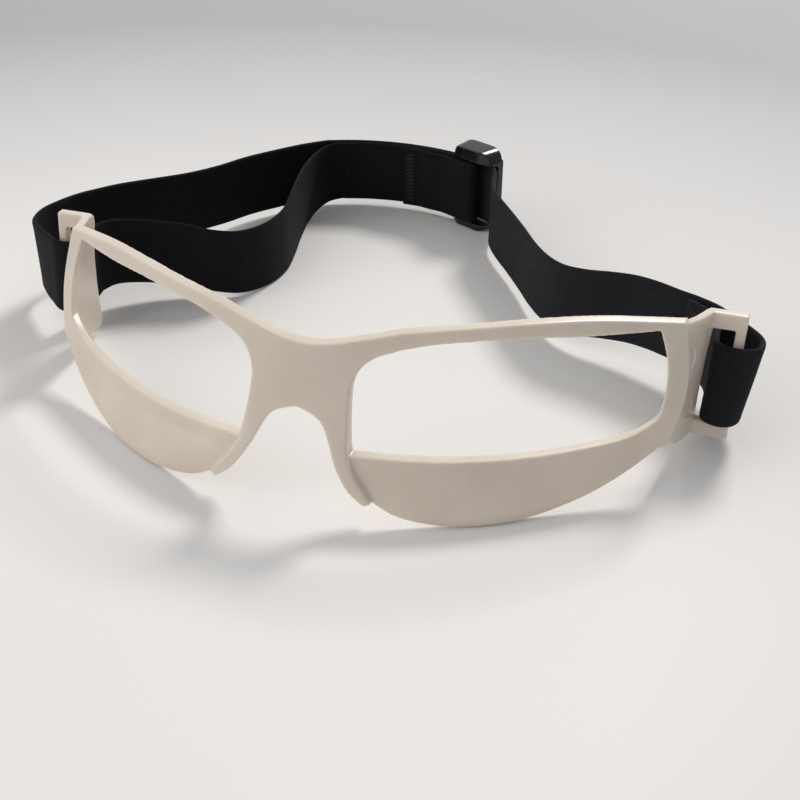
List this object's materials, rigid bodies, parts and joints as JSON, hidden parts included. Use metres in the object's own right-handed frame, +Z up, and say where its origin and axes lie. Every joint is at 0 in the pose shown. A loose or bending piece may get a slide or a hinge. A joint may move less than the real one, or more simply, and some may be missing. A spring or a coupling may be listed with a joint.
{
  "type": "open sports goggles",
  "caption": "Open wrap-round sports goggles: moulded frame with a blinder under each eye window, temple strap loops and an elastic head strap with a slider.",
  "frame": {"origin": "centre of the whole article's footprint, on the plane it lies on", "axes": "+X across the face towards the wearer's left, -Y forward out of the face, +Z up as the article lies"},
  "size_m": [0.1993, 0.1628, 0.0412],
  "materials": {
    "frame_plastic": "satin, slightly translucent milky moulding",
    "webbing": "woven elastic webbing, matte",
    "slider_plastic": "gloss",
    "thread": "sewing thread"
  },
  "bodies": {
    "goggles": {"bridge": "frame_plastic", "right_nose_arm": "frame_plastic", "left_nose_arm": "frame_plastic", "right_brow_bar": "frame_plastic", "left_brow_bar": "frame_plastic", "right_temple_post": "frame_plastic", "left_temple_post": "frame_plastic", "right_blinder": "frame_plastic", "left_blinder": "frame_plastic", "right_wing": "frame_plastic", "left_wing": "frame_plastic", "right_strap_bar": "frame_plastic", "left_strap_bar": "frame_plastic", "strap_right_fold": "webbing", "strap_right_run": "webbing", "strap_back_curve": "webbing", "strap_left_run": "webbing", "strap_left_fold": "webbing", "strap_inner_run": "webbing", "strap_inner_curve": "webbing", "right_end_stitches": "thread"},
    "slider": {"slider_frame": "slider_plastic", "slider_centre_bar": "slider_plastic", "strap_slider_loop": "webbing", "slider_end_stitches": "thread"}
  },
  "joints": [
    {"name": "slider_travel", "type": "hinge", "parent": "goggles", "child": "slider", "pos_m": [-0.01955, 0.02115, 0], "axis": [0, 0, 1], "range_deg": [0, 20]}
  ]
}
